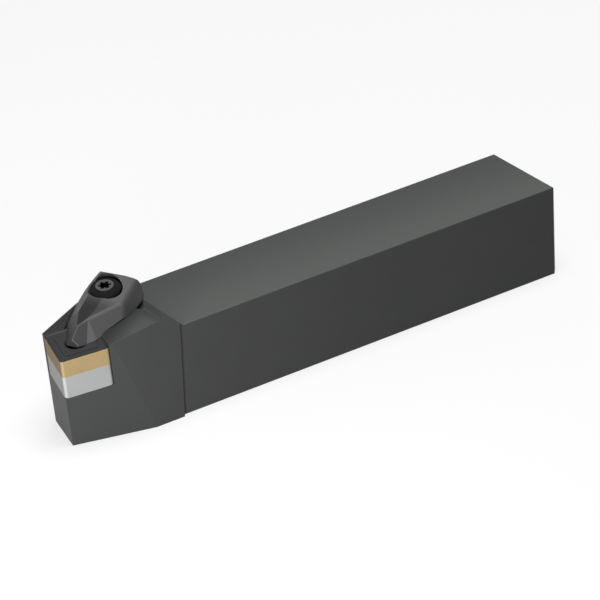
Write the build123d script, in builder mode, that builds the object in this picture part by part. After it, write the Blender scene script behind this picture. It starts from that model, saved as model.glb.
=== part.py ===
from build123d import *
from math import atan2, cos, radians, sin, tan
import os

# A right-hand external turning tool holder with a square negative insert, its shim and a rigid
# clamping claw. +X runs from the cutting end to the rear end, the cutting side is -Y, and the tool
# lies on its base at Z = 0.
# The origin is on the base, on the shank's centre line, level with the shoulder between head and shank.

os.makedirs("parts", exist_ok=True)

# ---- driving dimensions, millimetres and degrees ----
# shank
shank_width = 25.0
shank_height = 25.0
overall_length = 150.0
edge_break = 0.3
end_chamfer = 0.8

# cutting point
functional_width = 22.0
cutting_height = 25.0
head_length = 32.75
approach_angle = 75.0
rake_tilt = 6.0

# head
side_step = 0.7
head_front_stock = 6.0
platform_height = 29.45
platform_angle = 5.7
crest_height = 31.65
slope_foot = 1.2
rear_slope = 45.0
cove_radius = 0.8
rib_end = 3.0
far_corner_reach = 13.5
far_wall_angle = 21.5

# insert
insert_side = 12.7
insert_thickness = 4.76
insert_corner = 0.8
insert_hole = 5.16
insert_hole_chamfer = 0.4
insert_land = 0.25
insert_groove_width = 1.7
insert_groove_depth = 0.2
insert_groove_taper = 60.0

# shim and its screw
shim_thickness = 6.2
shim_corner = 1.0
shim_hole = 4.6
shim_screw_thread = 4.0
shim_screw_head = 6.6
shim_screw_sink = 0.4
shim_screw_length = 13.0
shim_screw_socket = 2.4
shim_screw_socket_depth = 1.2

# clamping claw, measured along and across its own axis from the insert's hole
claw_axis = 17.5
claw_rear = 24.0
claw_near_corner = 2.8
claw_far_corner = 5.0
claw_near_half_width = 8.0
claw_far_half_width = 7.0
claw_flank_reach = 13.4
claw_neck_reach = 5.2
claw_neck_half_width = 5.2
claw_throat_reach = 1.8
claw_throat_half_width = 4.7
claw_nose_reach = 2.0
claw_nose_half_width = 1.6
claw_apex_reach = 1.6
claw_apex_height = 3.7
claw_hollow_height = 3.75
claw_boss_height = 4.15
claw_crown_reach = 21.6
claw_crown_height = 5.3
claw_rear_height = 4.0
claw_brow_reach = 5.0
claw_brow_half_width = 1.3
claw_brow_height = 3.6
claw_far_foot_reach = 5.65
claw_far_foot_half_width = 5.4
claw_nose_slope = 48.5
claw_nose_turn = 68.4
claw_valley_reach = 0.4
claw_valley_half_width = 2.76
claw_valley_height = 0.3
claw_cheek_reach = 3.1
claw_cheek_half_width = 4.33
claw_cheek_height = 0.6
claw_flank_slope = 41.9
claw_flank_turn = 69.8
claw_top_slope = 18.6
claw_top_turn = 78.9
claw_far_slope = 48.0
claw_far_turn = 82.4
claw_shoulder_round = 3.0
claw_heel_round = 3.0
claw_heel_half_width = 5.7
claw_heel_slope = 60.0
claw_step_reach = 9.6
claw_underside = 0.6
heel_relief_start = 16.6
heel_relief_half_width = 10.9
heel_relief_width = 3.9
heel_relief_depth = 2.5
claw_foot_start = 21.3
claw_foot_end = 23.9
claw_foot_depth = 1.8
claw_foot_half_width = 4.5
finger_diameter = 3.6
finger_shift = 0.5
finger_depth = 1.3

# clamping screw and spring
screw_thread = 5.0
screw_head = 8.2
screw_head_top = 4.9
screw_head_seat = 1.7
screw_boss = 4.6
screw_boss_rise = 0.35
screw_socket = 3.4
screw_socket_depth = 1.7
screw_length = 20.0
counterbore = 8.8
claw_hole = 5.6
spring_outside = 7.4
spring_wire = 0.7
spring_turns = 3.5
spring_bore = 8.0
spring_bore_depth = 4.4

# fits
thread_clearance = 0.06
countersink_clearance = 0.02
groove_clearance = 0.35
groove_floor = 0.9
foot_clearance = 0.3
pocket_relief = 0.9
hole_run_out = 2.0
surface_tolerance = 0.01

# ---- worked-out sizes ----
shank_length = overall_length - head_length
crest_x = slope_foot - (crest_height - shank_height) / tan(radians(rear_slope))
slope_rise = platform_height + slope_foot * tan(radians(platform_angle)) - shank_height
slope_top_x = slope_foot - slope_rise / (tan(radians(rear_slope)) + tan(radians(platform_angle)))
pocket_depth = insert_thickness + shim_thickness
front_x = -head_length - head_front_stock
reach = 2 * overall_length

# ---- the tilted frame of the insert ----
# Both cutting edges rise away from the cutting corner by the rake tilt, so the insert's face
# leans to the corner.
corner = Vector(-head_length, shank_width / 2 - functional_width, cutting_height)
bisector = radians(approach_angle - 45)
lean = tan(radians(rake_tilt)) * 2 * cos(radians(45))
face_normal = Vector(-lean * cos(bisector), -lean * sin(bisector), 1).normalized()
flat_bisector = Vector(cos(bisector), sin(bisector), 0)
axis_along = (flat_bisector - face_normal * flat_bisector.dot(face_normal)).normalized()
axis_across = face_normal.cross(axis_along)
edge_main = (axis_along - axis_across).normalized()
insert_plane = Plane(origin=corner, x_dir=edge_main, z_dir=face_normal)
hole_centre = insert_plane.from_local_coords(Vector(insert_side / 2, insert_side / 2, 0))
claw_plane = Plane(origin=hole_centre, x_dir=axis_along, z_dir=face_normal)
screw_centre = claw_plane.from_local_coords(Vector(claw_axis, 0, 0))
screw_plane = Plane(origin=screw_centre, x_dir=axis_along, z_dir=face_normal)
claw_side_plane = Plane(origin=hole_centre, x_dir=axis_along, z_dir=axis_along.cross(face_normal))


def platform_at(x):
    """Height of the sloping platform of the head over a point of the shank's axis."""
    return platform_height + x * tan(radians(platform_angle))


def square_face(side, corner_radius, hole_diameter):
    """A square with rounded corners and a round hole, one corner on the cutting corner."""
    with BuildSketch() as face:
        with Locations((insert_side / 2, insert_side / 2)):
            RectangleRounded(side, side, corner_radius)
            if hole_diameter > 0:
                Circle(hole_diameter / 2, mode=Mode.SUBTRACT)
    return face.sketch


def claw_outline(clearance):
    """Plan of the claw: blunt nose, widening neck, wide heel, with the cutting side a little wider."""
    with BuildSketch() as plan:
        with BuildLine():
            Polyline(
                (claw_rear, -claw_near_half_width),
                (claw_flank_reach, -claw_near_half_width),
                (claw_neck_reach, -claw_neck_half_width),
                (claw_throat_reach, -claw_throat_half_width),
                (-claw_nose_reach, -claw_nose_half_width),
                (-claw_nose_reach, claw_nose_half_width),
                (claw_throat_reach, claw_throat_half_width),
                (claw_neck_reach, claw_neck_half_width),
                (claw_flank_reach, claw_far_half_width),
                (claw_rear, claw_far_half_width),
                close=True,
            )
        make_face()
        fillet(plan.vertices().group_by(Axis.X)[-1].sort_by(Axis.Y)[0], radius=claw_near_corner)
        fillet(plan.vertices().group_by(Axis.X)[-1].sort_by(Axis.Y)[-1], radius=claw_far_corner)
        if clearance > 0:
            offset(amount=clearance, kind=Kind.INTERSECTION)
    return plan.sketch


def local_height(edge):
    """Height of an edge's middle over the insert's face, along the screw."""
    return claw_plane.to_local_coords(edge.center(CenterOf.GEOMETRY)).Z


def claw_point(reach, across, height):
    """Point given along the claw's axis, across it and up from the insert's face."""
    return claw_plane.from_local_coords(Vector(reach, across, height))


def claw_bevel(reach, across, height, turn, slope):
    """Plane of a bevel of the claw through a point, facing out at a turn from the nose and sloping down."""
    out = claw_point(-cos(radians(turn)), sin(radians(turn)), 1 / tan(radians(slope))) - claw_plane.origin
    return Plane(origin=claw_point(reach, across, height), z_dir=out)


def is_shoulder(edge):
    """True for the straight upper edges of the claw's near flank and of its heel's near side."""
    middle = edge.center(CenterOf.GEOMETRY)
    on_side = any(abs(side.to_local_coords(middle).Z) < surface_tolerance for side in (near_flank, heel_side))
    behind_neck = claw_plane.to_local_coords(middle).X > claw_neck_reach
    return on_side and behind_neck and local_height(edge) > claw_underside and edge.geom_type == GeomType.LINE


def is_nose_edge(edge):
    """True for the ridge of the beak and the edges between its bevels."""
    middle = claw_plane.to_local_coords(edge.center(CenterOf.GEOMETRY))
    return claw_apex_height / 3 < middle.Z < claw_apex_height and middle.X < claw_brow_reach


def six_lobe(diameter):
    """Six-lobe driver socket outline, measured over its points."""
    lobe = diameter * 0.15
    with BuildSketch() as outline:
        Circle(diameter / 2 - lobe)
        with PolarLocations(diameter / 2 - lobe, 6):
            Circle(lobe)
    return outline.sketch


# ---- holder body: shank and head in one ----
with BuildPart() as holder_body:
    # side elevation of shank and head, over the shank's width
    with BuildSketch(Plane.XZ):
        with BuildLine():
            Polyline(
                (front_x, 0),
                (shank_length, 0),
                (shank_length, shank_height),
                (slope_foot, shank_height),
                (slope_top_x, platform_at(slope_top_x)),
                (front_x, platform_at(front_x)),
                close=True,
            )
        make_face()
    extrude(amount=shank_width / 2, both=True)
    # rib across the back of the platform, from the cutting side to behind the claw
    with BuildSketch(Plane.XZ.offset(-rib_end)):
        with BuildLine():
            Polyline(
                (slope_foot, shank_height),
                (crest_x, crest_height),
                (crest_x, shank_height),
                close=True,
            )
        make_face()
    extrude(amount=shank_width / 2 + rib_end)
    # edges of the shank
    chamfer(holder_body.faces().sort_by(Axis.X)[-1].edges(), length=end_chamfer)
    shank_edges = holder_body.edges().filter_by(Axis.X).filter_by_position(Axis.X, 0, shank_length)
    fillet(shank_edges, radius=edge_break)
    # the head stands proud of the shank on the cutting side
    with BuildSketch(Plane.XZ.offset(shank_width / 2 - edge_break)):
        with BuildLine():
            Polyline(
                (front_x, 0),
                (0, 0),
                (0, shank_height + slope_foot),
                (crest_x, crest_height),
                (crest_x, platform_at(crest_x)),
                (front_x, platform_at(front_x)),
                close=True,
            )
        make_face()
    extrude(amount=side_step + edge_break)
    # rounded foot of the rib at the back of the platform
    at_crest = (crest_x - surface_tolerance, crest_x + surface_tolerance)
    foot_edge = holder_body.edges().filter_by(Axis.Y).filter_by_position(Axis.X, *at_crest)
    fillet(foot_edge.sort_by(Axis.Z)[0:1], radius=cove_radius)
    # flanks square to the insert's face: main flank, front flank and the far wall
    wall_turn = radians(far_wall_angle) + atan2(-edge_main.Y, edge_main.X)
    with BuildSketch(insert_plane.offset(-reach / 2)):
        with BuildLine():
            Polyline(
                (0, 0),
                (reach, 0),
                (reach, far_corner_reach + reach * tan(wall_turn)),
                (0, far_corner_reach),
                close=True,
            )
        make_face()
    extrude(amount=reach, mode=Mode.INTERSECT)
    # pocket for the insert and its shim, open to both flanks
    with BuildSketch(insert_plane.offset(-pocket_depth)):
        with Locations((insert_side, insert_side)):
            Rectangle(3 * insert_side, 3 * insert_side, align=(Align.MAX, Align.MAX))
    extrude(amount=3 * pocket_depth, mode=Mode.SUBTRACT)
    # relief for the insert's inner corner
    with BuildSketch(insert_plane.offset(-pocket_depth)):
        with Locations((insert_side, insert_side)):
            Circle(pocket_relief)
    extrude(amount=3 * pocket_depth, mode=Mode.SUBTRACT)
    # hole for the shim's screw
    with BuildSketch(claw_plane.offset(-pocket_depth)):
        Circle(shim_screw_thread / 2 + thread_clearance)
    extrude(amount=-(shim_screw_length - shim_thickness + hole_run_out), mode=Mode.SUBTRACT)
    # relief in the rib beside the claw's heel
    with BuildSketch(claw_plane.offset(-heel_relief_depth)):
        with Locations((heel_relief_start, -heel_relief_half_width)):
            Rectangle(claw_rear, heel_relief_width, align=(Align.MIN, Align.MIN))
    extrude(amount=shank_height, mode=Mode.SUBTRACT)
    # groove that the claw lies in
    with BuildSketch(claw_plane.offset(-groove_floor)):
        add(claw_outline(groove_clearance))
    extrude(amount=shank_height, mode=Mode.SUBTRACT)
    # heel ramp: as the screw draws the claw down, the ramp slides it rearwards
    with BuildSketch(claw_side_plane):
        with BuildLine():
            Polyline(
                (claw_foot_start - foot_clearance, claw_underside),
                (claw_foot_start - foot_clearance, -claw_underside),
                (claw_foot_start - foot_clearance + claw_foot_depth, -claw_underside - claw_foot_depth),
                (claw_foot_start + claw_foot_depth, -claw_underside - claw_foot_depth - foot_clearance),
                (claw_foot_end + foot_clearance, -claw_underside - claw_foot_depth - foot_clearance),
                (claw_foot_end + foot_clearance, claw_underside),
                close=True,
            )
        make_face()
    extrude(amount=claw_foot_half_width + foot_clearance, both=True, mode=Mode.SUBTRACT)
    # spring bore and threaded hole for the clamping screw
    with BuildSketch(screw_plane.offset(screw_head_top)):
        Circle(spring_bore / 2)
    extrude(amount=-(screw_head_top + groove_floor + spring_bore_depth), mode=Mode.SUBTRACT)
    with BuildSketch(screw_plane):
        Circle(screw_thread / 2 + thread_clearance)
    extrude(amount=-(screw_length - screw_head_top + hole_run_out), mode=Mode.SUBTRACT)
holder_body.part.label = "holder_body"
export_step(holder_body.part, "parts/holder_body.step")

# ---- shim: carbide plate between the pocket floor and the insert ----
with BuildPart() as shim:
    with BuildSketch(insert_plane.offset(-insert_thickness)):
        add(square_face(insert_side, shim_corner, shim_hole))
    extrude(amount=-shim_thickness)
    sink_radius = shim_screw_head / 2 + shim_screw_sink + countersink_clearance
    sink_depth = sink_radius - shim_hole / 2
    with BuildSketch(claw_plane.offset(-insert_thickness)):
        Circle(sink_radius)
    extrude(amount=-sink_depth, taper=45, mode=Mode.SUBTRACT)
shim.part.label = "shim"
export_step(shim.part, "parts/shim.step")

# ---- shim screw: countersunk, its head just under the shim's face ----
with BuildPart() as shim_screw:
    with BuildSketch(claw_plane.offset(-insert_thickness - shim_screw_sink)):
        Circle(shim_screw_head / 2)
    extrude(amount=-(shim_screw_head - shim_screw_thread) / 2, taper=45)
    with BuildSketch(claw_plane.offset(-insert_thickness - shim_screw_sink)):
        Circle(shim_screw_thread / 2)
    extrude(amount=-shim_screw_length)
    chamfer(shim_screw.faces().sort_by(Axis(hole_centre, face_normal))[0].edges(), length=edge_break)
    with BuildSketch(claw_plane.offset(-insert_thickness - shim_screw_sink)):
        add(six_lobe(shim_screw_socket))
    extrude(amount=-shim_screw_socket_depth, mode=Mode.SUBTRACT)
shim_screw.part.label = "shim_screw"
export_step(shim_screw.part, "parts/shim_screw.step")

# ---- insert: square, both faces alike, with a land, a chip groove and a raised middle ----
with BuildPart() as insert:
    with BuildSketch(insert_plane):
        add(square_face(insert_side, insert_corner, 0))
    extrude(amount=-insert_thickness)
    for side_plane in (insert_plane, insert_plane.offset(-insert_thickness)):
        inward = -1 if side_plane is insert_plane else 1
        with BuildSketch(side_plane):
            add(square_face(insert_side - 2 * insert_land, insert_corner - insert_land, 0))
        extrude(amount=inward * insert_groove_depth, taper=insert_groove_taper, mode=Mode.SUBTRACT)
    plateau_side = insert_side - 2 * (insert_land + insert_groove_width)
    with BuildSketch(insert_plane):
        add(square_face(plateau_side, insert_corner, 0))
    extrude(amount=-insert_thickness)
    with BuildSketch(claw_plane):
        Circle(insert_hole / 2)
    extrude(amount=-insert_thickness, mode=Mode.SUBTRACT)
    round_edges = insert.edges().filter_by(GeomType.CIRCLE)
    hole_edges = round_edges.filter_by(lambda e: e.radius > insert_hole / 2 - surface_tolerance)
    chamfer(hole_edges, length=insert_hole_chamfer)
insert.part.label = "insert"
export_step(insert.part, "parts/insert.step")

# ---- clamping claw ----
with BuildPart() as clamp:
    with BuildSketch(claw_plane.offset(-claw_underside)):
        add(claw_outline(0))
    extrude(amount=claw_underside + claw_crown_height)
    # side elevation: beak over the insert, hollow back, crown behind the screw, rounded heel
    with BuildSketch(claw_side_plane) as elevation:
        with BuildLine():
            boss_front = claw_axis - counterbore / 2
            Polyline(
                (boss_front, claw_boss_height),
                (claw_crown_reach, claw_crown_height),
                (claw_rear, claw_rear_height),
                (claw_rear, -claw_underside),
                (claw_step_reach, -claw_underside),
                (claw_step_reach, 0),
                (-claw_nose_reach, 0),
                (-claw_nose_reach, claw_apex_height),
                (claw_apex_reach, claw_apex_height),
            )
            ThreePointArc(
                (claw_apex_reach, claw_apex_height),
                ((claw_apex_reach + boss_front) / 2, claw_hollow_height),
                (boss_front, claw_boss_height),
            )
        make_face()
        fillet(elevation.vertices().group_by(Axis.X)[-1].sort_by(Axis.Y)[-1], radius=claw_heel_round)
    extrude(amount=claw_rear, both=True, mode=Mode.INTERSECT)
    # bevels: the near flank, the heel's near side, the top falling to the near side, the far flank
    heel_side = claw_bevel(claw_crown_reach, -claw_heel_half_width, claw_brow_height, -90, claw_heel_slope)
    brow_place = (claw_brow_reach, -claw_brow_half_width, claw_brow_height)
    near_flank = claw_bevel(*brow_place, -claw_flank_turn, claw_flank_slope)
    bevels = [
        near_flank,
        heel_side,
        claw_bevel(*brow_place, -claw_top_turn, claw_top_slope),
        claw_bevel(claw_far_foot_reach, claw_far_foot_half_width, 0, claw_far_turn, claw_far_slope),
    ]
    for bevel in bevels:
        with BuildSketch(bevel):
            Rectangle(4 * claw_rear, 4 * claw_rear)
        extrude(amount=claw_rear, mode=Mode.SUBTRACT)
    # rounded shoulder along the near flank
    fillet(clamp.edges().filter_by(is_shoulder), radius=claw_shoulder_round)
    # far side of the nose
    with BuildSketch(claw_bevel(claw_apex_reach, 0, claw_apex_height, claw_nose_turn, claw_nose_slope)):
        Rectangle(4 * claw_rear, 4 * claw_rear)
    extrude(amount=claw_rear, mode=Mode.SUBTRACT)
    # near side of the nose, cut back as far as the cheek, where the flank begins
    apex = claw_point(claw_apex_reach, 0, claw_apex_height)
    brow = claw_point(*brow_place)
    valley = claw_point(claw_valley_reach, -claw_valley_half_width, claw_valley_height)
    cheek = claw_point(claw_cheek_reach, -claw_cheek_half_width, claw_cheek_height)
    with BuildSketch(Plane(origin=brow, x_dir=valley - brow, z_dir=(valley - brow).cross(apex - brow))):
        Rectangle(4 * claw_rear, 4 * claw_rear, align=(Align.CENTER, Align.MIN))
    extrude(amount=claw_rear, dir=cheek - valley, mode=Mode.SUBTRACT)
    # softened edges of the nose
    fillet(clamp.edges().filter_by(is_nose_edge), radius=edge_break)
    # wedge foot under the heel
    with BuildSketch(claw_side_plane):
        with BuildLine():
            Polyline(
                (claw_foot_start, -claw_underside),
                (claw_foot_start + claw_foot_depth, -claw_underside - claw_foot_depth),
                (claw_foot_end, -claw_underside - claw_foot_depth),
                (claw_foot_end, -claw_underside),
                close=True,
            )
        make_face()
    extrude(amount=claw_foot_half_width, both=True)
    # finger that reaches into the insert's hole
    with BuildSketch(claw_plane):
        with Locations((finger_shift, 0)):
            Circle(finger_diameter / 2)
    extrude(amount=-finger_depth)
    # hole and counterbore for the screw
    with BuildSketch(screw_plane.offset(screw_head_seat)):
        Circle(counterbore / 2)
    extrude(amount=claw_crown_height, mode=Mode.SUBTRACT)
    with BuildSketch(screw_plane.offset(screw_head_seat)):
        Circle(claw_hole / 2)
    extrude(amount=-claw_crown_height, mode=Mode.SUBTRACT)
clamp.part.label = "clamp"
export_step(clamp.part, "parts/clamp.step")

# ---- clamping screw: low head in the counterbore, small raised boss with the driver socket ----
with BuildPart() as clamp_screw:
    with BuildSketch(screw_plane.offset(screw_head_seat)):
        Circle(screw_head / 2)
    extrude(amount=screw_head_top - screw_boss_rise - screw_head_seat)
    head_rim = clamp_screw.edges().filter_by(lambda e: local_height(e) > screw_head_seat + edge_break)
    chamfer(head_rim, length=2 * edge_break)
    with BuildSketch(screw_plane.offset(screw_head_top)):
        Circle(screw_boss / 2)
    extrude(amount=-screw_boss_rise)
    with BuildSketch(screw_plane.offset(screw_head_seat)):
        Circle(screw_thread / 2)
    extrude(amount=-(screw_length - screw_head_top + screw_head_seat))
    thread_end = clamp_screw.edges().filter_by(lambda e: local_height(e) < -claw_crown_height)
    chamfer(thread_end, length=2 * edge_break)
    with BuildSketch(screw_plane.offset(screw_head_top)):
        add(six_lobe(screw_socket))
    extrude(amount=-screw_socket_depth, mode=Mode.SUBTRACT)
clamp_screw.part.label = "clamp_screw"
export_step(clamp_screw.part, "parts/clamp_screw.step")

# ---- lifting spring round the screw, between the bore's floor and the claw ----
spring_floor = -groove_floor - spring_bore_depth + spring_wire / 2 + thread_clearance
spring_height = -claw_underside - spring_wire / 2 - thread_clearance - spring_floor
with BuildPart() as clamp_spring:
    with BuildLine():
        coil = Helix(
            pitch=spring_height / spring_turns,
            height=spring_height,
            radius=(spring_outside - spring_wire) / 2,
            center=screw_plane.from_local_coords(Vector(0, 0, spring_floor)),
            direction=face_normal,
        )
    with BuildSketch(Plane(origin=coil @ 0, z_dir=coil % 0)):
        RegularPolygon(spring_wire / 2, side_count=8)
    sweep(path=coil, is_frenet=True)
clamp_spring.part.label = "clamp_spring"
export_step(clamp_spring.part, "parts/clamp_spring.step")
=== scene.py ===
import math

import bpy
from mathutils import Matrix, Vector

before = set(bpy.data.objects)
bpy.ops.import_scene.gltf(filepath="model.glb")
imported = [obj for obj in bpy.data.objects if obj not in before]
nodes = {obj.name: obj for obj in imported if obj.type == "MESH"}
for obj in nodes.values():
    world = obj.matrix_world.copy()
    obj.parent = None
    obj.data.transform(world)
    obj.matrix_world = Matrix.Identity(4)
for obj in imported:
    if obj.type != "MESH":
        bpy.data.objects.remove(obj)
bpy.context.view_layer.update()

# The holder body is one forging of alloy steel, milled on every side, hardened and blacked in a hot oxide bath.
# Its faces are left as the cutter left them, fine and even. Its edges are worn pale and carry a painted highlight;
# the near half of the top is painted paler, a painted sheen, and painted shade darkens the sheltered corners and
# the platform beside the claw.


class Tone:
    """One socket of a node tree, with plain arithmetic on it."""

    def __init__(self, shader, socket):
        self.shader, self.socket = shader, socket

    def _maths(self, operation, *inputs):
        return self.shader.node("ShaderNodeMath", {"operation": operation}, inputs)

    def __add__(self, other):
        return self._maths("ADD", self, other)

    def __sub__(self, other):
        return self._maths("SUBTRACT", self, other)

    def __rsub__(self, other):
        return self._maths("SUBTRACT", other, self)

    def __mul__(self, other):
        return self._maths("MULTIPLY", self, other)

    def __gt__(self, other):
        return self._maths("GREATER_THAN", self, other)

    def __neg__(self):
        return self._maths("MULTIPLY", self, -1.0)

    def __abs__(self):
        return self._maths("ABSOLUTE", self)

    __radd__ = __add__
    __rmul__ = __mul__

    def between(self, low, high):
        """0 below low, 1 above high, a smooth ramp in between."""
        settings = {"interpolation_type": "SMOOTHSTEP"}
        return self.shader.node("ShaderNodeMapRange", settings, {"Value": self, "From Min": low, "From Max": high})


class Finish:
    """A surface finish: one node tree, with calls that add nodes to it."""

    def __init__(self, name):
        self.material = bpy.data.materials.new(name)
        self.material.use_nodes = True
        self.tree = self.material.node_tree
        self.surface = self.tree.nodes["Principled BSDF"]

    def node(self, kind, settings=None, inputs=(), output=0):
        """Adds a node, given its type, its settings and the values or links of its sockets."""
        made = self.tree.nodes.new(kind)
        for key, value in (settings or {}).items():
            setattr(made, key, value)
        pairs = inputs.items() if isinstance(inputs, dict) else enumerate(inputs)
        for key, value in pairs:
            if isinstance(value, Tone):
                self.tree.links.new(value.socket, made.inputs[key])
            else:
                made.inputs[key].default_value = value
        return Tone(self, made.outputs[output])

    def blend(self, share, first, second):
        """A colour that goes from first to second as share goes from 0 to 1."""
        colours = {6: first, 7: second}
        for key in colours:
            if not isinstance(colours[key], Tone):
                colours[key] = (*colours[key], 1.0)
        return self.node("ShaderNodeMix", {"data_type": "RGBA"}, {0: share, **colours}, output=2)

    def set(self, **values):
        """Sets or links the shader's sockets: base_color=..., roughness=..."""
        for key, value in values.items():
            socket = self.surface.inputs[key.replace("_", " ").title().replace("Ior", "IOR")]
            if isinstance(value, Tone):
                self.tree.links.new(value.socket, socket)
            elif isinstance(value, tuple) and len(value) == 3:
                socket.default_value = (*value, 1.0)
            else:
                socket.default_value = value

    def place(self):
        """Position on the piece, in metres, moving with it."""
        return self.node("ShaderNodeTexCoord", output=3)

    def facing(self, axis):
        """How a face looks along an axis: 1 straight along it, 0 beside it, -1 against it."""
        normal = self.node("ShaderNodeTexCoord", output=1)
        return self.node("ShaderNodeVectorMath", {"operation": "DOT_PRODUCT"}, [normal, axis], output=1)

    def along(self, place, centre, axis):
        """Distance from a centre, measured along an axis."""
        away = self.node("ShaderNodeVectorMath", {"operation": "SUBTRACT"}, [place, centre])
        return self.node("ShaderNodeVectorMath", {"operation": "DOT_PRODUCT"}, [away, axis], output=1)

    def edge(self, width):
        """1 on a sharp edge, 0 on a flat face."""
        rounded = self.node("ShaderNodeBevel", {"samples": 6}, {"Radius": width})
        flat = self.node("ShaderNodeNewGeometry", output=1)
        along = self.node("ShaderNodeVectorMath", {"operation": "DOT_PRODUCT"}, [rounded, flat], output=1)
        return (1.0 - along).between(0.004, 0.09)

    def sheltered(self, reach):
        """0 on an open face, towards 1 in a corner or under a neighbour within reach."""
        settings = {"samples": 8}
        return 1.0 - self.node("ShaderNodeAmbientOcclusion", settings, {"Distance": reach}, output=1)

    def grain(self, place, size, detail=2.0):
        """Fine noise with features of about size metres, about 0.5."""
        return self.node("ShaderNodeTexNoise", None, {"Vector": place, "Scale": 1.0 / size, "Detail": detail})

    def stretched(self, place, x, y, z):
        """The place with each direction scaled, to draw a grain out along one of them."""
        return self.node("ShaderNodeVectorMath", {"operation": "MULTIPLY"}, [place, (x, y, z)])


def wear(node_name, finish):
    """Puts a finish on a CAD node."""
    mesh = nodes[node_name].data
    mesh.materials.clear()
    mesh.materials.append(finish.material)


shank_top, shank_near_side, painted_sheen_far_end = 0.025, 0.0125, -0.0135
rib_front, rib_round = -0.0055, 0.0007
claw_near_side, painted_shade_edge = 0.006, 0.0145
insert_middle, claw_farward = (-0.025057, -0.005059, 0.026320), (-0.5, 0.866025, 0.0)
black_oxide = Finish("black_oxide_steel")
place = black_oxide.place()
milling = black_oxide.grain(black_oxide.stretched(place, 0.06, 1.0, 1.0), 0.0004)
mottle = black_oxide.grain(place, 0.009)
oxide = black_oxide.blend(mottle, (0.080, 0.083, 0.081), (0.091, 0.095, 0.092))
upward = black_oxide.facing((0, 0, 1)).between(0.5, 0.8)
from_top = abs(black_oxide.along(place, (0, 0, shank_top), (0, 0, 1)))
level_top = upward * (1.0 - from_top.between(0.0001, 0.0002))
# Painted sheen: the level top is painted paler towards its near edge, where the light falls on it.
nearward = black_oxide.along(place, (0, 0, 0), (0, -1, 0)).between(painted_sheen_far_end, shank_near_side)
painted_top_sheen = black_oxide.blend(nearward, (0.071, 0.074, 0.072), (0.108, 0.113, 0.109))
oxide = black_oxide.blend(level_top * 0.8, oxide, painted_top_sheen)
shelter = black_oxide.sheltered(0.03)
off_claw = (-black_oxide.along(place, insert_middle, claw_farward)).between(claw_near_side, painted_shade_edge)
platform = 1.0 - black_oxide.along(place, (0, 0, 0), (1, 0, 0)).between(rib_front - rib_round, rib_front)
# Painted shade: up-facing faces go near-black in sheltered corners and on the platform beside the claw, where its
# shadow falls.
painted_shade = upward * (shelter.between(0.0, 0.5) * 0.4 + (1.0 - off_claw) * platform * 0.75)
oxide = black_oxide.blend(painted_shade, oxide, (0.016, 0.017, 0.0165))
# Worn edges and painted highlight: sharp edges away from corners are painted paler.
worn_edge_and_highlight = black_oxide.edge(0.00018) * (1.0 - shelter.between(0.1, 0.4)) * 0.3
black_oxide.set(
    base_color=black_oxide.blend(worn_edge_and_highlight, oxide, (0.16, 0.165, 0.162)),
    roughness=0.46 + 0.08 * milling,
    metallic=0.0,
    specular_ior_level=0.15,
    normal=black_oxide.node("ShaderNodeBump", None, {"Strength": 0.05, "Distance": 0.00005, "Height": milling}),
)
wear("holder_body", black_oxide)

# The shim is a plain plate of sintered tungsten carbide, ground on both faces and left bare. It lies on the pocket
# floor under the insert. Its front side is painted darker, as painted shade, and a painted highlight runs pale
# along its rounded corner.

claw_rearward = (0.856614, 0.494566, 0.147025)
ground_carbide = Finish("ground_carbide")
place = ground_carbide.place()
sinter = ground_carbide.grain(place, 0.00025)
cloud = ground_carbide.grain(place, 0.004)
near_sides = ground_carbide.blend(0.6 * cloud + 0.4 * sinter, (0.46, 0.47, 0.465), (0.53, 0.54, 0.535))
# Painted shade: the front side of the shim is painted darker.
painted_front_shade = ground_carbide.along(place, insert_middle, claw_farward).between(-0.0002, 0.0002)
carbide = ground_carbide.blend(painted_front_shade * 0.8, near_sides, (0.28, 0.28, 0.28))
# Painted highlight: a pale line along the rounded corner, where the light glints.
corner = (-ground_carbide.along(place, insert_middle, claw_rearward)).between(0.0084, 0.0086)
ground_carbide.set(
    base_color=ground_carbide.blend(corner, carbide, (0.80, 0.80, 0.80)),
    roughness=0.42 + 0.1 * sinter - 0.15 * corner,
    metallic=0.2,
)
wear("shim", ground_carbide)

# The insert is pressed and sintered carbide with a two-colour coating: gold on the flanks, where wear has to show,
# and the dark oxide layer left on both faces. The front flank's gold is painted deeper, as painted shade, and a
# painted highlight runs pale along the corner.

upright = (-0.127327, -0.073512, 0.989133)
coated = Finish("two_colour_coating")
place = coated.place()
rearward = coated.along(place, insert_middle, claw_rearward)
farward = coated.along(place, insert_middle, claw_farward)
level = abs(coated.facing(upright)).between(0.25, 0.45)
on_flank = (abs(rearward) + abs(farward)).between(0.00865, 0.00875) * (1.0 - level)
speckle = coated.grain(place, 0.0003)
cloud = coated.grain(place, 0.003)
main_gold = coated.blend(cloud, (0.50, 0.36, 0.175), (0.57, 0.42, 0.215))
# Painted shade: the gold of the front flank is painted deeper.
shaded_front_gold = coated.blend(cloud, (0.20, 0.135, 0.045), (0.26, 0.18, 0.06))
gold = coated.blend(farward.between(-0.0002, 0.0002), main_gold, shaded_front_gold)
# Painted highlight: a pale line along the rounded cutting corner, where the light glints.
gold = coated.blend((-rearward).between(0.0085, 0.0087), gold, (0.84, 0.68, 0.42))
dark = coated.blend(cloud, (0.030, 0.031, 0.032), (0.040, 0.038, 0.041))
coated.set(
    base_color=coated.blend(on_flank, dark, gold),
    roughness=0.46 + 0.1 * speckle,
    metallic=0.3 * on_flank,
    specular_ior_level=0.2,
)
wear("insert", coated)

# The claw is a precision casting in tool steel, tumbled smooth and only lightly oxided, so it is paler than the
# body. The hollow before the screw and the far side are painted darker, as painted shade.
# The screw draws it down on the insert.

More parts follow.
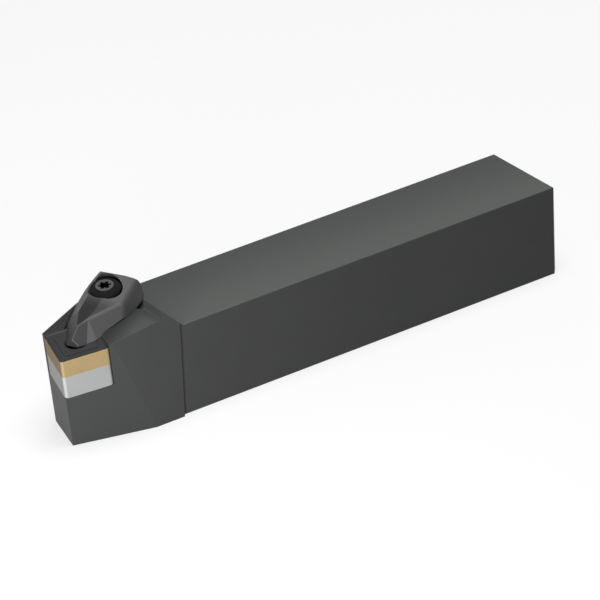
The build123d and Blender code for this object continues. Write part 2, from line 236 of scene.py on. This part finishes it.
screw_seat = (-0.010067, 0.003596, 0.028893)
tumbled = Finish("tumbled_steel")
place = tumbled.place()
cast = tumbled.grain(place, 0.0006)
cloud = tumbled.grain(place, 0.004)
bright = tumbled.blend(cloud, (0.078, 0.078, 0.078), (0.096, 0.096, 0.096))
noseward = -tumbled.along(place, screw_seat, claw_rearward)
# Painted shade: the up-facing hollow before the screw and the far-facing side are painted near-black.
hollow = tumbled.facing(upright).between(0.85, 0.97) * noseward.between(0.002, 0.008)
far_side_shade = tumbled.facing(claw_farward).between(0.1, 0.5)
tumbled.set(
    base_color=tumbled.blend(hollow * 0.85 + far_side_shade * 0.5, bright, (0.018, 0.018, 0.018)),
    roughness=0.46 + 0.08 * cast,
    metallic=0.55,
)
wear("clamp", tumbled)

# The clamping screw is a low-headed cap screw of alloy steel that goes through the claw into the body. It is
# turned, blacked all over, and ground grey on the boss round its six-lobe socket. The shim's screw is blacked too.

boss_foot = 0.0046
screw_black = Finish("screw_black")
place = screw_black.place()
turned = screw_black.grain(screw_black.stretched(place, 1.0, 1.0, 3.0), 0.0004)
black = screw_black.blend(turned, (0.007, 0.007, 0.007), (0.012, 0.012, 0.012))
ground = screw_black.blend(turned, (0.082, 0.087, 0.086), (0.11, 0.115, 0.114))
boss = screw_black.along(place, screw_seat, upright).between(boss_foot, boss_foot + 0.0001)
screw_black.set(
    base_color=screw_black.blend(boss, black, ground),
    roughness=0.36 + 0.1 * turned,
    metallic=0.0,
    specular_ior_level=0.12,
)
wear("clamp_screw", screw_black)
wear("shim_screw", screw_black)

# The lifting spring is wound from bright drawn spring wire. It stands in its bore round the screw and pushes the
# loosened claw up.

drawn_wire = Finish("drawn_wire")
draw = drawn_wire.grain(drawn_wire.place(), 0.0003)
drawn_wire.set(base_color=drawn_wire.blend(draw, (0.5, 0.5, 0.5), (0.6, 0.6, 0.6)), roughness=0.3, metallic=1.0)
wear("clamp_spring", drawn_wire)

# The floor is a wide sheet of pale matt paper. Where it is looked at it is lifted nearly to white, and a soft
# shadow of the holder stays on it.

floor_half = 4.0
floor_mesh = bpy.data.meshes.new("floor")
floor_corners = [(x, y, 0) for x, y in ((-1, -1), (1, -1), (1, 1), (-1, 1))]
floor_mesh.from_pydata([(floor_half * x, floor_half * y, z) for x, y, z in floor_corners], [], [(0, 1, 2, 3)])
floor = bpy.data.objects.new("floor", floor_mesh)
bpy.context.scene.collection.objects.link(floor)


def looked_at(finish):
    """1 for a ray from the camera, or one that metal or glass sends on, 0 for light on its way to a surface."""
    camera_ray = finish.node("ShaderNodeLightPath")
    glossy_ray = finish.node("ShaderNodeLightPath", output=3)
    passing_ray = finish.node("ShaderNodeLightPath", output=6)
    return camera_ray + glossy_ray + passing_ray > 0.5


lifted_share = 0.7
paper = Finish("matt_paper")
paper.set(base_color=paper.blend(looked_at(paper), (0.09, 0.09, 0.09), (0.92, 0.92, 0.92)), roughness=0.9)
lift = paper.node("ShaderNodeEmission", None, {"Color": (1.0, 1.0, 1.0, 1.0), "Strength": 1.0})
plain = Tone(paper, paper.surface.outputs[0])
lifted = paper.node("ShaderNodeMixShader", None, [looked_at(paper) * lifted_share, plain, lift])
paper.tree.links.new(lifted.socket, paper.tree.nodes["Material Output"].inputs["Surface"])
floor_mesh.materials.append(paper.material)

# The light is a soft, dim tent, brighter at the back, with a broad lamp overhead and a small one low at the front
# left, near the cutting end.

world = bpy.data.worlds.new("tent")
bpy.context.scene.world = world
world.use_nodes = True


class Tent(Finish):
    """The node tree of the world."""

    def __init__(self, tree):
        self.tree = tree
        self.surface = tree.nodes["Background"]


tent = Tent(world.node_tree)
tent_back, tent_front, frontward = 0.36, 0.05, (-0.35, -0.85, 0.4)
toward = tent.node("ShaderNodeTexCoord")
front = tent.node("ShaderNodeVectorMath", {"operation": "DOT_PRODUCT"}, [toward, frontward], output=1)
glow = tent_back + (tent_front - tent_back) * front.between(-0.9, 0.9)
seen = tent.node("ShaderNodeLightPath")
tent.set(color=(1.0, 1.0, 1.0), strength=glow * (1.0 - seen) + seen)


def lamp(name, place, aim, size, watts):
    """A square soft lamp at a place, turned to a point, that no view shows."""
    light = bpy.data.lights.new(name, "AREA")
    light.energy, light.size = watts, size
    made = bpy.data.objects.new(name, light)
    made.location = place
    made.rotation_mode = "QUATERNION"
    made.rotation_quaternion = (Vector(place) - Vector(aim)).to_track_quat("Z", "Y")
    made.visible_camera = False
    bpy.context.scene.collection.objects.link(made)


lamp("overhead_lamp", (0.06, -0.09, 0.88), (0.04, 0, 0), 0.5, 6.9)
lamp("front_lamp", (-0.16, -0.14, 0.05), (-0.01, 0, 0.015), 0.06, 0.30)

# The camera stands to the front left of the cutting end and looks down on it with a long lens, so that the near
# side, the top and the cutting end all show. It hangs a little out of level.

cam_data = bpy.data.cameras.new("camera")
cam_data.lens = 319.1
cam_data.sensor_width = 36.0
cam_data.clip_start = 0.05
cam_data.clip_end = 50.0
camera = bpy.data.objects.new("camera", cam_data)
camera_place = (-0.625514, -0.973959, 0.641814)
yaw, pitch, roll = math.radians(-34.547), math.radians(28.051), math.radians(-2.519)
ahead = Vector((-math.sin(yaw) * math.cos(pitch), math.cos(yaw) * math.cos(pitch), -math.sin(pitch)))
level = Vector((math.cos(yaw), math.sin(yaw), 0))
over = level.cross(ahead)
right = math.cos(roll) * level + math.sin(roll) * over
upward = -math.sin(roll) * level + math.cos(roll) * over
turn = Matrix((right, upward, -ahead)).transposed()
camera.matrix_world = Matrix.Translation(camera_place) @ turn.to_4x4()
bpy.context.scene.collection.objects.link(camera)
bpy.context.scene.camera = camera
bpy.context.scene.view_settings.view_transform = "Standard"
